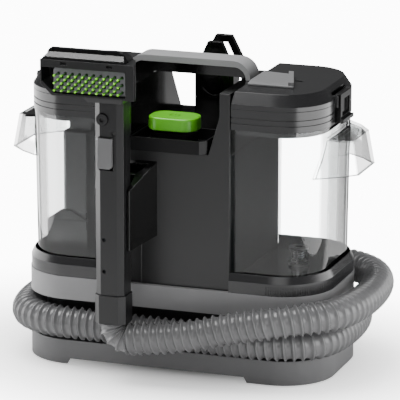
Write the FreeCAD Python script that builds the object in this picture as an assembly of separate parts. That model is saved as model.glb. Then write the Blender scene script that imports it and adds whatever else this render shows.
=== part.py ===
import FreeCAD, Part
import math
import os

# Spot extractor: two clear tanks on a stadium base, hose wrapped round the base, tool docked in front.
# Millimetres, +Z up, origin on the floor under the centre of the base, front faces -Y.
V = FreeCAD.Vector

# ---- driving dimensions ----
BASE_L = 340.0
BASE_D = 174.0
BASE_R = 56.0
HX = BASE_L / 2 - BASE_R
HY = BASE_D / 2 - BASE_R
PLINTH_Z0 = 1.5
PLINTH_Z1 = 28.0
NOTCH_Z = 7.5
CHANNEL_IN = 17.0
BAND_Z0 = 73.0
BAND_Z1 = 98.0
WALL = 2.5
BODY_X = 70.0
BODY_Y = 79.0
FRONT_Y = -82.0
REAR_Y = 82.0
PILLAR_Z = 309.0
LEFT_IN = -40.0
RIGHT_IN = 58.0
DECK_Z = 250.5
TRAY_Z = 240.0
COLLAR_Z1 = 118.5
TANK_X0 = 71.5
TANK_OFF = 6.0
TANK_Z0 = 108.0
TANK_Z1 = 272.0
RING_Z1 = 294.0
LID_Z1 = 311.0
WAND_X = -42.5
WAND_Y = -126.0
WAND_Z0 = 67.0
WAND_Z1 = 304.0
HOSE_D = 35.0
TOWER_X = 3.0
MOTOR_X = 16.0
MOTOR_Y = 14.0

NODES = {}


def save(name, *solids):
    """Collects one named piece as one or more closed solids."""
    flat = []
    for s in solids:
        flat.extend(s.Solids)
    NODES[name] = Part.makeCompound(flat) if len(flat) > 1 else flat[0]


def box(x0, x1, y0, y1, z0, z1):
    return Part.makeBox(x1 - x0, y1 - y0, z1 - z0, V(x0, y0, z0))


def rod(x, y, z, r, h, d=V(0, 0, 1)):
    return Part.makeCylinder(r, h, V(x, y, z), d)


def tube(x, y, z, r_out, r_in, h, d=V(0, 0, 1)):
    return rod(x, y, z, r_out, h, d).cut(rod(x, y, z, r_in, h, d))


def prism(points, z0, z1):
    """Upright prism from plan points."""
    pts = [V(x, y, z0) for x, y in points]
    return Part.Face(Part.makePolygon(pts + [pts[0]])).extrude(V(0, 0, z1 - z0))


def prism_y(points, y0, y1):
    """Prism along Y from front-view points (x, z)."""
    pts = [V(x, y0, z) for x, z in points]
    return Part.Face(Part.makePolygon(pts + [pts[0]])).extrude(V(0, y1 - y0, 0))


def prism_x(points, x0, x1):
    """Prism along X from side-view points (y, z)."""
    pts = [V(x0, y, z) for y, z in points]
    return Part.Face(Part.makePolygon(pts + [pts[0]])).extrude(V(x1 - x0, 0, 0))


def rounded(x0, x1, y0, y1, r, z0, z1):
    """Upright block with rounded vertical corners."""
    block = box(x0, x1, y0, y1, z0, z1)
    edges = [e for e in block.Edges if abs(e.Vertexes[0].X - e.Vertexes[1].X) < 1e-6
             and abs(e.Vertexes[0].Y - e.Vertexes[1].Y) < 1e-6]
    return block.makeFillet(r, edges)


def outline(off, z):
    """Stadium outline of the base, grown by off."""
    x, y, r = HX, HY, BASE_R + off
    c = math.sqrt(0.5) * r
    e = [Part.LineSegment(V(-x, -y - r, z), V(x, -y - r, z)),
         Part.Arc(V(x, -y - r, z), V(x + c, -y - c, z), V(x + r, -y, z)),
         Part.LineSegment(V(x + r, -y, z), V(x + r, y, z)),
         Part.Arc(V(x + r, y, z), V(x + c, y + c, z), V(x, y + r, z)),
         Part.LineSegment(V(x, y + r, z), V(-x, y + r, z)),
         Part.Arc(V(-x, y + r, z), V(-x - c, y + c, z), V(-x - r, y, z)),
         Part.LineSegment(V(-x - r, y, z), V(-x - r, -y, z)),
         Part.Arc(V(-x - r, -y, z), V(-x - c, -y - c, z), V(-x, -y - r, z))]
    return Part.Wire([s.toShape() for s in e])


def slab(off, z0, z1):
    return Part.Face(outline(off, z0)).extrude(V(0, 0, z1 - z0))


def half_outline(x0, off, z):
    """Right-hand end of the stadium outline, closed by a straight inner side at x0."""
    x, y, r = HX, HY, BASE_R + off
    c = math.sqrt(0.5) * r
    e = [Part.LineSegment(V(x0, -y - r, z), V(x, -y - r, z)),
         Part.Arc(V(x, -y - r, z), V(x + c, -y - c, z), V(x + r, -y, z)),
         Part.LineSegment(V(x + r, -y, z), V(x + r, y, z)),
         Part.Arc(V(x + r, y, z), V(x + c, y + c, z), V(x, y + r, z)),
         Part.LineSegment(V(x, y + r, z), V(x0, y + r, z)),
         Part.LineSegment(V(x0, y + r, z), V(x0, -y - r, z))]
    return Part.Wire([s.toShape() for s in e])


def half_slab(x0, off, z0, z1):
    return Part.Face(half_outline(x0, off, z0)).extrude(V(0, 0, z1 - z0))


def half_taper(x0, off0, z0, x1, off1, z1):
    return Part.makeLoft([half_outline(x0, off0, z0), half_outline(x1, off1, z1)], True, True)


def left(shape):
    """Mirror image on the left-hand side."""
    return shape.mirror(V(0, 0, 0), V(1, 0, 0))


def coil(x, y, z0, r, wire, turns, pitch):
    """Compression spring."""
    path = Part.makeHelix(pitch, pitch * turns, r)
    path.translate(V(x, y, z0 + wire))
    ring = Part.Wire(Part.makeCircle(wire, V(x + r, y, z0 + wire), V(0, 1, 0)))
    return Part.Wire(path).makePipeShell([ring], True, True)


def screw(x, y, z, d, r=3.2, head=2.0, shank=8.0):
    """Pan-head screw with a cross recess, pointing along d from its head."""
    n = V(d)
    n.normalize()
    body = rod(x, y, z, r, head, n).fuse(rod(x, y, z, r * 0.45, head + shank, n))
    side = V(0, 0, 1) if abs(n.z) < 0.5 else V(1, 0, 0)
    other = n.cross(side)
    for a in (side, other):
        c = V(x, y, z)
        slot = Part.makeBox(1.2 * r, 0.8, 1.0, V(-0.6 * r, -0.4, 0))
        m = FreeCAD.Matrix(a.x, n.cross(a).x, n.x, c.x, a.y, n.cross(a).y, n.y, c.y,
                           a.z, n.cross(a).z, n.z, c.z, 0, 0, 0, 1)
        body = body.cut(slot.transformGeometry(m))
    return body


# ---- base ----
def base_parts():
    plinth = slab(0, PLINTH_Z0, PLINTH_Z1).cut(slab(-WALL, PLINTH_Z0 - 1, PLINTH_Z1 - WALL))
    for y0, y1 in ((-90, -80), (80, 90)):
        plinth = plinth.cut(prism_y([(-112, 0), (92, 0), (88, NOTCH_Z), (-108, NOTCH_Z)], y0, y1))
    pads = [(120, -52), (120, 52), (-120, -52), (-120, 52)]
    for x, y in pads:
        plinth = plinth.fuse(rod(x, y, 4.0, 11, PLINTH_Z1 - WALL - 4.0))
        plinth = plinth.cut(rod(x, y, 3.0, 1.7, 14))
    for x, y in ((62, 30), (62, -30), (-62, 30), (-62, -30)):
        plinth = plinth.fuse(tube(x, y, PLINTH_Z1 - 1, 6, 1.5, BAND_Z1 - WALL - PLINTH_Z1 + 0.98))
    # a moulded post in the middle stands level with the four pads
    plinth = plinth.fuse(rod(0, 0, 0, 12, PLINTH_Z1 - WALL + 0.5))
    save("base_plinth", plinth)
    save("rubber_feet", *[rod(x, y, 0, 13, 3.9).cut(rod(x, y, -1, 4, 2.5)).cut(rod(x, y, 0, 1.7, 6))
                          for x, y in pads])
    wall = slab(-CHANNEL_IN, PLINTH_Z1, BAND_Z0 - 0.02)
    save("hose_channel_wall", wall.cut(slab(-CHANNEL_IN - WALL, PLINTH_Z1 - 1, BAND_Z0 + 1))
         .cut(rod(46, 60, 46.5, 12.1, 20, V(0, 1, 0))))
    deck = slab(0, BAND_Z0, BAND_Z1).cut(slab(-WALL, BAND_Z0 + WALL, BAND_Z1 - WALL))
    deck = deck.cut(slab(-CHANNEL_IN - WALL, BAND_Z0 - 1, BAND_Z0 + WALL + 1))
    deck = deck.cut(box(-62, 62, -70, 70, BAND_Z1 - WALL - 1, BAND_Z1 + 1))
    save("base_deck", deck)


# ---- centre body between the tanks ----
def body_parts():
    low = box(-BODY_X, BODY_X, -BODY_Y, BODY_Y, BAND_Z1, TRAY_Z)
    high = box(-BODY_X, BODY_X, -26, BODY_Y, TRAY_Z - 1, DECK_Z)
    left_p = box(-BODY_X, LEFT_IN, -BODY_Y, BODY_Y, TRAY_Z - 1, PILLAR_Z)
    right_p = prism_y([(BODY_X, TRAY_Z - 1), (BODY_X, PILLAR_Z), (RIGHT_IN, PILLAR_Z), (RIGHT_IN, 286),
                       (49, TRAY_Z - 1)], -BODY_Y, BODY_Y)
    casing = low.fuse([high, left_p, right_p])
    hollow = box(-BODY_X + WALL, BODY_X - WALL, -BODY_Y - 1, BODY_Y + 1, BAND_Z1 + WALL, TRAY_Z - WALL)
    hollow = hollow.fuse(box(-BODY_X + WALL, BODY_X - WALL, -26 + WALL, BODY_Y + 1, TRAY_Z - 4, DECK_Z - WALL))
    hollow = hollow.fuse(box(-BODY_X + WALL, LEFT_IN - WALL, -BODY_Y - 1, BODY_Y + 1, TRAY_Z - 4, PILLAR_Z - WALL))
    hollow = hollow.fuse(prism_y([(BODY_X - WALL, TRAY_Z - 4), (BODY_X - WALL, PILLAR_Z - WALL),
                                  (RIGHT_IN + WALL, PILLAR_Z - WALL), (RIGHT_IN + WALL, 286),
                                  (49 + WALL, TRAY_Z - 4)], -BODY_Y - 1, BODY_Y + 1))
    slope = prism_x([(40, 311), (90, 311), (90, DECK_Z + 4), (BODY_Y - 2, DECK_Z + 4)], -80, 80)
    casing = casing.cut(hollow)
    back = prism_x([(40, PILLAR_Z), (BODY_Y - 2, DECK_Z + 4), (BODY_Y - 2 - WALL, DECK_Z + 4),
                    (40 - WALL, PILLAR_Z)], -BODY_X, BODY_X)
    back = back.common(left_p.fuse(right_p))
    casing = casing.cut(slope).fuse(back)
    casing = casing.cut(rod(0, -54, TRAY_Z - 5, 13, 10)).removeSplitter()
    save("body_casing", casing)

    panel = box(-BODY_X, BODY_X, FRONT_Y, FRONT_Y + 2.8, BAND_Z1 + 0.3, LID_Z1 - 2)
    cut = prism_y([(-39.5, LID_Z1), (-39.5, 242.7), (46.6, 242.7), (59, 284), (59, LID_Z1)], FRONT_Y - 1, FRONT_Y + 4)
    groove = box(-40, -28, FRONT_Y - 1, FRONT_Y + 1.2, BAND_Z1, 146)
    panel = panel.cut(cut).cut(groove)
    save("front_panel", panel)
    back = box(-BODY_X, BODY_X, BODY_Y + 0.2, REAR_Y, BAND_Z1 + 0.3, DECK_Z + 4)
    for i in range(9):
        back = back.cut(box(-46, 46, BODY_Y, REAR_Y + 1, 150 + 8 * i, 153.5 + 8 * i))
    back = back.cut(rod(-46, BODY_Y, 116, 6.1, 10, V(0, 1, 0)))
    for a, z in ((-60, 240), (60, 240), (-60, 110), (60, 110)):
        back = back.cut(rod(a, BODY_Y, z, 1.6, 6, V(0, 1, 0)))
    save("rear_cover", back)

    tray = prism([(-39, -86.5), (38, -86.5), (45, -80), (45, -27), (-39, -27)], 243.0, 257.5)
    tray = tray.cut(prism([(-37, -84.5), (37, -84.5), (43, -79), (43, -29), (-37, -29)], 245.5, 259))
    pedestal = rounded(-24, 24, -70, -39, 12, 245, 259)
    tray = tray.fuse(pedestal.cut(rounded(-22, 22, -68, -41, 10, 240, 256.5)))
    tray = tray.cut(rod(0, -54, 240, 4.06, 30))
    save("button_tray", tray.removeSplitter())
    cap = rounded(-27, 27, -73, -36, 15, 262.7, 276)
    rim = [e for e in cap.Edges if abs(e.BoundBox.ZMin - 276) < 1e-6]
    cap = cap.makeFillet(2.0, rim)
    cap = cap.cut(rounded(-24.6, 24.6, -70.6, -38.4, 12.6, 262, 273.2))
    save("power_button", cap.fuse(rod(0, -54, 239.2, 4.0, 34.5)).removeSplitter())
    save("button_spring", coil(0, -54, 259.1, 7.0, 0.7, 4, 3.1))
    save("power_switch", box(-9, 9, -61, -47, 214, 235.5).fuse(rod(0, -54, 235, 2.5, 0.7)))

    # handle: light cap over a darker grip
    cap = box(-69, 69, -13, 17, PILLAR_Z + 0.2, 329)
    ends = [e for e in cap.Edges if abs(e.BoundBox.ZMin - 329) < 1e-6 and e.BoundBox.YLength > 20]
    cap = cap.makeFillet(19.5, ends)
    inner = box(-64, 64, -14, 18, PILLAR_Z, 322.3)
    ends = [e for e in inner.Edges if abs(e.BoundBox.ZMin - 322.3) < 1e-6 and e.BoundBox.YLength > 20]
    inner = inner.makeFillet(12.8, ends)
    save("handle_cover", cap.cut(inner))
    grip = inner.common(box(-63.95, 63.95, -10, 14, PILLAR_Z + 0.2, 322.25))
    gap = box(LEFT_IN, RIGHT_IN, -14, 18, PILLAR_Z - 1, 311.5)
    ends = [e for e in gap.Edges if abs(e.BoundBox.ZMin - 311.5) < 1e-6 and e.BoundBox.YLength > 20]
    save("handle_grip", grip.cut(gap.makeFillet(2.0, ends)))

    t = TOWER_X
    tower = box(t - 22, t + 22, 62, REAR_Y, DECK_Z + 4.2, 312)
    tower = tower.fuse(box(t - 22, t + 22, 62, BODY_Y - 3, DECK_Z + 0.1, DECK_Z + 5))
    tower = tower.cut(box(t - 19, t + 19, 66, REAR_Y - 3, DECK_Z - 1, 309))
    tower = tower.fuse(tube(t, 60.5, 288, 18, 15, 2, V(0, 1, 0)))
    tower = tower.fuse(rod(t, 61, 288, 10, 20, V(0, 1, 0)))
    plate = prism_y([(t - 17, 311), (t + 17, 311), (t + 8, 331), (t - 8, 331)], 63, 69)
    plate = plate.cut(prism_y([(t - 10, 316), (t + 10, 316), (t + 5, 327), (t - 5, 327)], 62, 65))
    tower = tower.fuse(plate).cut(rod(t, 55, 288, 5.05, 40, V(0, 1, 0)))
    save("rear_tower", tower.removeSplitter())
    hook = prism_y([(t - 13, 278), (t + 13, 278), (t + 22, 308), (t + 9, 333), (t - 9, 333), (t - 22, 308)], 92, 99)
    hook = hook.cut(prism_y([(t - 10, 302), (t + 10, 302), (t + 13.5, 308), (t + 5, 325.5), (t - 5, 325.5),
                             (t - 13.5, 308)], 91, 100))
    hook = hook.fuse(rod(t, REAR_Y + 0.4, 288, 12, 12, V(0, 1, 0))).fuse(rod(t, 59, 288, 5.0, 30, V(0, 1, 0)))
    hook = hook.fuse(rod(t, 57.5, 288, 8.5, 2.6, V(0, 1, 0)))
    save("cord_hook_swivel", hook.removeSplitter())
    low = prism_y([(-16, 150), (16, 150), (16, 140), (9, 122), (-9, 122), (-16, 140)], 92, 98)
    low = low.fuse(box(-12, 12, REAR_Y + 0.02, 93, 138, 148))
    save("cord_hook_lower", low.removeSplitter())
    save("mains_gland", rod(-46, BODY_Y - 3, 116, 6.0, 14, V(0, 1, 0)).fuse(rod(-46, REAR_Y, 116, 9, 3, V(0, 1, 0)))
         .cut(rod(-46, 60, 116, 3.2, 50, V(0, 1, 0))))
    spots = [(-60, 240), (60, 240), (-60, 110), (60, 110)]
    x, y = WAND_X - 5, WAND_Y - 12.4
    save("case_screws", *([screw(a, REAR_Y + 2.0, z, V(0, -1, 0), head=2.0, shank=2.0) for a, z in spots]
                          + [screw(x, y, z, V(0, 1, 0), r=2.0, head=1.2, shank=0.6) for z in (158, 124)]))


# ---- tool dock on the front ----
def dock_parts():
    y0 = FRONT_Y - 0.05
    cradle = prism([(-80, y0), (-10, y0), (-23.5, -128), (-61.5, -128)], 145, 232)
    slot = prism([(-58.7, -129), (-26.3, -129), (-26.3, -104), (-58.7, -104)], 140, 240)
    cradle = cradle.cut(slot)
    hollow = prism([(-74, -84.5), (-16, -84.5), (-25.5, -101), (-62, -101)], 148, 229)
    cradle = cradle.cut(hollow)
    cradle = cradle.cut(prism_x([(-135, 206), (-135, 240), (-80, 240), (-80, 232.5)], -95, 0))
    cradle = cradle.cut(prism_x([(-135, 144), (-135, 140), (-80, 140), (-80, 152)], -95, 0))
    save("wand_cradle", cradle)
    save("tool_hook", box(-52, -39, -97, y0, 270, 288).cut(box(-49, -42, -98, -90, 276, 289)))


# ---- tanks ----
def hood_block(wall, z0, z1):
    """Flared outline of the grip hood, shrunk by the wall thickness."""
    def ring(z, t):
        w = wall
        pts = [(120, -50 - 15 * t + w), (158, -46 - 14 * t + w), (176, -38 - 9 * t + w), (187 + 7 * t - w, -26 - 3 * t + w),
               (187 + 7 * t - w, 26 + 3 * t - w), (176, 38 + 9 * t - w), (158, 46 + 14 * t - w), (120, 50 + 15 * t - w)]
        pts = [V(x, y, z) for x, y in pts]
        return Part.makePolygon(pts + [pts[0]])
    return Part.makeLoft([ring(z0, (262 - z0) / 41.0), ring(z1, (262 - z1) / 41.0)], True, True)


def tank_parts(side, flip):
    def put(name, *shapes):
        done = []
        for s in shapes:
            done.append(left(s) if flip else s)
        save(side + "_" + name, *done)

    x0 = TANK_X0
    collar = half_slab(BODY_X + 0.5, -0.8, BAND_Z1 + 0.02, 111)
    collar = collar.fuse(half_taper(BODY_X + 0.5, -0.8, 111, BODY_X + 0.5, -4.6, COLLAR_Z1))
    collar = collar.cut(half_slab(BODY_X - 5, -TANK_OFF + 0.6, TANK_Z0 - 2, 200))
    if not flip:
        ribs = []
        for i in range(26):
            a = math.radians(-92 + 2.7 * i)
            r = BASE_R - 0.6
            ribs.append(rod(HX + r * math.cos(a), -HY + r * math.sin(a), BAND_Z1 + 1.5, 0.65, 8.5))
        collar = collar.cut(Part.makeCompound(ribs))
    collar = collar.cut(rod(120, 0, BAND_Z1 - 1, 15, 30))
    put("tank_collar", collar)
    # clear tank with its grip hood moulded on the outer end
    shell = half_taper(x0, -8.0, TANK_Z0, x0, -TANK_OFF, TANK_Z1)
    core = half_taper(x0 + WALL, -8.0 - WALL, TANK_Z0 + WALL, x0 + WALL, -TANK_OFF - WALL, TANK_Z1 + 1)
    hood = hood_block(0.0, 221, 262).cut(hood_block(2.6, 200, 259.4))
    hood = hood.cut(prism_y([(150, 263), (161, 262), (200, 255), (200, 270), (150, 270)], -80, 80))
    hood = hood.fuse(hood_block(0.0, 221, 262).common(prism_y([(140, 259.4), (161, 259.4), (200, 252.4),
                                                               (200, 255), (161, 262), (140, 262)], -80, 80)))
    for i in range(4):
        hood = hood.cut(box(168 + 4.6 * i, 169.8 + 4.6 * i, -21, 21, 245, 265))
    shell = shell.fuse(hood).cut(core)
    if not flip:
        shell = shell.cut(rod(120, 0, TANK_Z0 - 1, 11, 6))
    put("tank_shell", shell.removeSplitter())
    # ring and lid
    ring = half_slab(x0, -5.0, TANK_Z1 + 0.02, RING_Z1)
    ring = ring.cut(half_slab(x0 + 9, -14.0, TANK_Z1 - 1, RING_Z1 + 1))
    for z in (278.5, 284.5):
        ring = ring.cut(half_slab(x0 - 2, -3, z, z + 1.4).cut(half_slab(x0 + 0.8, -5.8, z - 1, z + 3)))
    ring = ring.fuse(half_slab(x0 + 4, -TANK_OFF - WALL - 0.3, TANK_Z1 - 6, TANK_Z1 + 1)
                     .cut(half_slab(x0 + 9, -14.0, TANK_Z1 - 8, TANK_Z1 + 3)))
    lid = half_slab(x0, -5.0, RING_Z1 + 0.3, 299).fuse(half_taper(x0, -5.0, 299, x0 + 1.5, -13.0, LID_Z1))
    lid = lid.cut(half_slab(x0 + 3, -16.0, RING_Z1 - 1, LID_Z1 - 3))
    slot = box(116, 124.5, -7, -1, LID_Z1 - 5, LID_Z1 + 1)
    lid = lid.cut(slot).cut(box(84, 112, -22, -6, LID_Z1 - 5, LID_Z1 + 1))
    ring = ring.cut(box(163.4, 180, -20.4, 20.4, 270, 306))
    lid = lid.cut(box(160.6, 180, -23.8, 23.8, 290, 306))
    put("tank_ring", ring.fuse(rod(166.2, -20.4, 300, 1.55, 40.8, V(0, 1, 0)))
        .fuse(box(161, 168.5, -23.4, -20.4, 290, 302.5)).fuse(box(161, 168.5, 20.4, 23.4, 290, 302.5))
        .cut(half_slab(x0 + 9, -14.0, TANK_Z1 - 1, RING_Z1 + 11)).removeSplitter())
    put("tank_lid", lid)
    put("lid_gasket", half_slab(x0 + 1.2, -8.0, RING_Z1 + 0.01, RING_Z1 + 0.29)
        .cut(half_slab(x0 + 5, -12.0, RING_Z1 - 1, RING_Z1 + 2)).cut(box(160.7, 170, -23.7, 23.7, 290, 300)))
    slider = prism([(76, -42), (126, -42), (108, 13), (76, 13)], LID_Z1 + 0.3, 315)
    slider = slider.cut(prism_x([(-50, 311.6), (-50, 320), (-30, 320), (-30, 315)], 60, 140))
    slider = slider.cut(prism_y([(70, 316), (76, 315), (130, 313), (130, 320), (70, 320)], -60, 60))
    slider = slider.fuse(prism([(120, -41), (126, -41), (109, 12), (103.5, 12)], 312.5, 317.2))
    put("lid_slider", slider.fuse(box(86, 98, -21, -7, LID_Z1 - 3.4, LID_Z1 + 1)))
    # buckle on the outer end
    buckle = box(163.8, 170.5, -18, 18, 273, 303)
    buckle = buckle.cut(box(167.5, 172, -13, 13, 279, 297)).fuse(box(163.8, 173.5, -18, 18, 272.5, 276.5))
    buckle = buckle.cut(rod(166.2, -20, 300, 1.6, 40, V(0, 1, 0)))
    put("lid_buckle", buckle)


def tank_inside():
    # sewage side: separator tower with its float; clean side: spring valve
    tower = rounded(-131, -101, -46, -14, 5, 112, 246)
    tower = tower.fuse(rounded(-127, -99, -38, -22, 4, 245, 262))
    tower = tower.fuse(rounded(-147, -100, -52, -8, 2, 112, 150))
    tower = tower.fuse(prism_y([(-147, 149.5), (-130.5, 160), (-120, 160), (-101, 149.5)], -50, -10))
    tower = tower.cut(rounded(-127.5, -104.5, -42.5, -17.5, 3, 114.5, 243))
    tower = tower.cut(rounded(-124, -111, -35, -25, 3, 240, 265))
    tower = tower.fuse(tube(-117, -46.8, 218, 9, 6.5, 2.5, V(0, 1, 0)))
    guide = tube(-117, 28, 112, 14, 12.4, 62)
    guide = guide.cut(box(-119.5, -114.5, 10, 46, 118, 168)).cut(box(-135, -99, 25.5, 30.5, 118, 168))
    guide = guide.fuse(box(-125, -109, -9, 15, 112, 116))
    tower = tower.fuse(guide)
    save("separator_tower", tower.removeSplitter())
    save("float_ball", Part.makeSphere(11.5, V(-117, 28, 126)))
    save("valve_poppet", rod(120, 0, TANK_Z0 - 6, 4.0, 22).fuse(rod(120, 0, 114.2, 8, 2.0)))
    save("valve_spring", coil(120, 0, 116.3, 5.6, 0.5, 4, 2.6))
    seat = rod(120, 0, TANK_Z0 - 2, 10.9, 8).cut(rod(120, 0, TANK_Z0 - 3, 4.05, 12))
    cage = tube(120, 0, 127.8, 10.5, 4.3, 2.4)
    for a in (0.6, 2.7, 4.8):
        cage = cage.fuse(rod(120 + 9.0 * math.cos(a), 9.0 * math.sin(a), 113.5, 1.0, 15.2))
    save("tank_valve", seat.fuse(cage).removeSplitter())


# ---- motor, fan and pump inside the body ----
def inside_parts():
    x, y = MOTOR_X, MOTOR_Y
    can = tube(x, y, 118, 46, 43, 68).fuse(tube(x, y, 115, 46, 9.0, 3)).fuse(tube(x, y, 186, 46, 9.0, 3))
    for a in (0.5, 2.1, 3.7, 5.3):
        can = can.fuse(tube(x + 38 * math.cos(a), y + 38 * math.sin(a), BAND_Z1 + WALL + 0.02, 6, 2.2, 14.6))
    save("motor_housing", can.fuse(tube(x, y, 128, 44, 26.6, 44)).removeSplitter())
    save("motor_bearings", tube(x, y, 115, 8.98, 4.05, 3), tube(x, y, 186, 8.98, 4.05, 3))
    save("motor_shaft", rod(x, y, 112, 4.0, 106))
    save("motor_rotor", tube(x, y, 128, 26.0, 4.0, 44).fuse(tube(x, y, 174, 14, 4.0, 8)))
    blades = []
    for i in range(9):
        b = box(x + 12, x + 41, y - 0.8, y + 0.8, 199, 208)
        b.rotate(V(x + 12, y, 200), V(0, 0, 1), 28)
        b.rotate(V(x, y, 200), V(0, 0, 1), 40 * i)
        blades.append(b)
    fan = tube(x, y, 196.5, 43.5, 4.0, 2.5).fuse(tube(x, y, 198, 12, 4.0, 14)).fuse(blades)
    save("fan_impeller", fan.removeSplitter())
    volute = tube(x, y, 190, 50, 46.5, 28).fuse(tube(x, y, 218, 50, 20, 2.5)).fuse(tube(x, y, 189.3, 50, 12, 2.5))
    save("fan_housing", volute.removeSplitter())
    save("water_pump", box(-62, -34, -34, 2, BAND_Z1 + WALL + 0.02, 146).fuse(rod(-48, -16, 145, 15, 26))
         .fuse(rod(-48, -16, 170, 4, 8)))
    save("exhaust_filter", box(-44, 44, 70, 78.4, 148, 222))


# ---- hand tool ----
def wand_section(z0, z1, grow=0.0):
    g = grow
    pts = [(-9 - g, -14 - g), (9 + g, -14 - g), (15.5 + g, -9.4), (15.5 + g, 10), (10, 14 + g),
           (-10, 14 + g), (-15.5 - g, 10), (-15.5 - g, -9.4)]
    return prism([(WAND_X + a, WAND_Y + b) for a, b in pts], z0, z1)


def wand_parts():
    x, y = WAND_X, WAND_Y
    bore = rod(x, y + 1, WAND_Z0 - 5, 8.5, 300)
    stem = wand_section(98, WAND_Z1).cut(bore)
    trig_hole = box(x - 10.5, x + 5.6, y - 16, y - 7.6, 232.5, 268.1)
    stem = stem.cut(trig_hole).cut(rod(x - 6, y - 15, 286.4, 6.6, 5.4, V(0, 1, 0)))
    stem = stem.cut(rod(x + 6.5, y - 15, 272, 2.6, 3, V(0, 1, 0)))
    for z in (158, 124):
        stem = stem.cut(rod(x - 5, y - 15, z, 2.2, 5, V(0, 1, 0)))
    front = stem.common(box(x - 20, x + 20, y - 20, y - 0.02, 90, 310))
    rear = stem.common(box(x - 20, x + 20, y + 0.02, y + 20, 90, 310))
    save("wand_front_shell", front)
    save("wand_rear_shell", rear)
    collar = wand_section(WAND_Z0, 97.9, 1.6).cut(rod(x, y + 1, WAND_Z0 - 1, 8.5, 40))
    collar = collar.fuse(wand_section(97, 97.9, 1.6).cut(bore))
    save("wand_collar", collar.removeSplitter())
    save("spray_knob", rod(x - 6, y - 16.0, 286.4, 6.2, 6.2, V(0, 1, 0)).cut(rod(x - 6, y - 17, 286.4, 2.4, 3.0, V(0, 1, 0))))
    trigger = prism_x([(y - 18.5, 235), (y - 16.5, 267), (y - 10.4, 267.3), (y - 10.4, 233.5)], x - 10.1, x + 5.2)
    trigger = trigger.cut(prism_y([(x + 1, 232.5), (x + 6, 232.5), (x + 6, 238.5)], y - 20, y - 5))
    trigger = trigger.cut(rod(x - 12, y - 12.4, 264.7, 1.3, 30, V(1, 0, 0)))
    save("trigger", trigger)
    save("trigger_pin", rod(x - 13.5, y - 12.4, 264.7, 1.25, 22, V(1, 0, 0)))
    # head: dark shell with a deep front tray, clear nozzle lip on top
    hx0, hx1 = -101.5, 0.5
    tray = prism_y([(hx0, 329), (hx0 + 13, 317), (hx1, 317), (hx1, 354), (hx0, 354)], -178, -150)
    tray = tray.cut(box(hx0 + 1.6, hx1 - 9.2, -179, -156, 319.2, 346.2))
    for a in (-76, -26):
        tray = tray.cut(box(a - 3.4, a + 3.4, -179, -175, 349.4, 352.2))
    tray = tray.cut(prism([(hx1 + 1, -173), (hx1, -173), (hx1 - 8.6, -149), (hx1 + 1, -149)], 310, 360))
    tray = tray.fuse(prism_y([(hx0, 329), (hx0 + 13, 317), (hx0 + 15, 319.5), (hx0 + 2, 331.5)], -178, -155))
    tray = tray.cut(prism_y([(hx0 - 1, 329.9), (hx0 - 1, 310), (hx0 + 14, 310), (hx0 + 14, 316)], -180, -140))
    duct = Part.makeLoft([Part.makePolygon([V(x - 15, -141, 296), V(x + 15, -141, 296), V(x + 15, -111, 296),
                                            V(x - 15, -111, 296), V(x - 15, -141, 296)]),
                          Part.makePolygon([V(hx0 + 4, -155, 350), V(hx1 - 14, -155, 350),
                                            V(hx1 - 14, -143, 350), V(hx0 + 4, -143, 350),
                                            V(hx0 + 4, -155, 350)])], True, True)
    crown = prism_x([(-143, 350), (-157, 363.5), (-164.8, 363.5), (-164.8, 353), (-155, 350)], hx0 + 3, hx1 - 3)
    crown = crown.common(prism_y([(hx0 + 3, 349), (hx0 + 3, 360), (hx0 + 6, 363.6), (hx1 - 17, 363.6),
                                  (hx1 - 13, 359), (hx1 - 11, 349)], -170, -140))
    duct = duct.fuse(crown).common(box(-200, 100, -200, 0, WAND_Z1 + 0.3, 400))
    mouth = prism_x([(-152, 340), (-146.5, 340), (-146.5, 350), (-160, 359.5), (-160, 365), (-166, 365),
                     (-166, 354), (-156, 352.6), (-152, 350)], hx0 + 8, hx1 - 20)
    head = tray.fuse(duct).cut(mouth)
    head = head.cut(Part.makeLoft([Part.Wire(Part.makeCircle(6.6, V(x, y + 1, 300))),
                                   Part.Wire(Part.makeCircle(5.0, V(x, -149, 341)))], True, False))
    spigot = tube(x, y + 1, 292, 8.44, 6.6, WAND_Z1 - 292 + 1)
    save("tool_head", head.fuse(spigot).removeSplitter())
    lip = prism_x([(-165.2, 354.2), (-175, 354.2), (-175, 356.4), (-168, 360.5), (-165.2, 361)], hx0 + 1, hx1 - 10)
    lip = lip.common(prism_y([(hx0 + 1, 354), (hx0 + 6, 361.1), (hx1 - 15, 361.1), (hx1 - 10, 354)], -180, -160))
    save("nozzle_lip", lip)
    carrier = rounded(-89, -10.4, 0, 25, 3, 0, 16)
    carrier.rotate(V(0, 0, 0), V(1, 0, 0), 90)
    carrier.translate(V(0, -156.2, 320))
    carrier = carrier.common(box(-200, 100, -172.2, -156.1, 319.6, 351.6))
    carrier = carrier.cut(prism_y([(hx0, 332.3), (hx0 + 16, 319.3), (hx0 + 16, 310), (hx0, 310)], -180, -150))
    save("brush_plate", carrier)
    bristles = []
    for row in range(5):
        count = 10 if row % 2 == 0 else 9
        for i in range(count):
            bx = -83.5 + 7.7 * i + (0 if row % 2 == 0 else 3.85)
            bz = 323.9 + 3.85 * row
            bristles.append(Part.makeCone(1.7, 1.0, 14, V(bx, -172.25, bz), V(0, -1, 0)))
    save("bristles", *bristles)


# ---- hose ----
HOSE_POINTS = [(-24.5, -126, 49), (25, -126, 54), (92, -116, 71), (147, -108, 80), (197, -64, 82), (199, 62, 84),
               (149, 109, 86), (70, 108, 85), (-20, 107, 75), (-95, 106, 56), (-142, 93, 51), (-176, 56, 50),
               (-176, -54, 50), (-140, -90, 49.5), (-62, -89, 48), (40, -89.5, 47), (138, -90, 46.5),
               (175.5, -55, 47), (175.5, 55, 46.5), (138, 89.5, 47), (82, 89.5, 46.5)]


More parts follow.
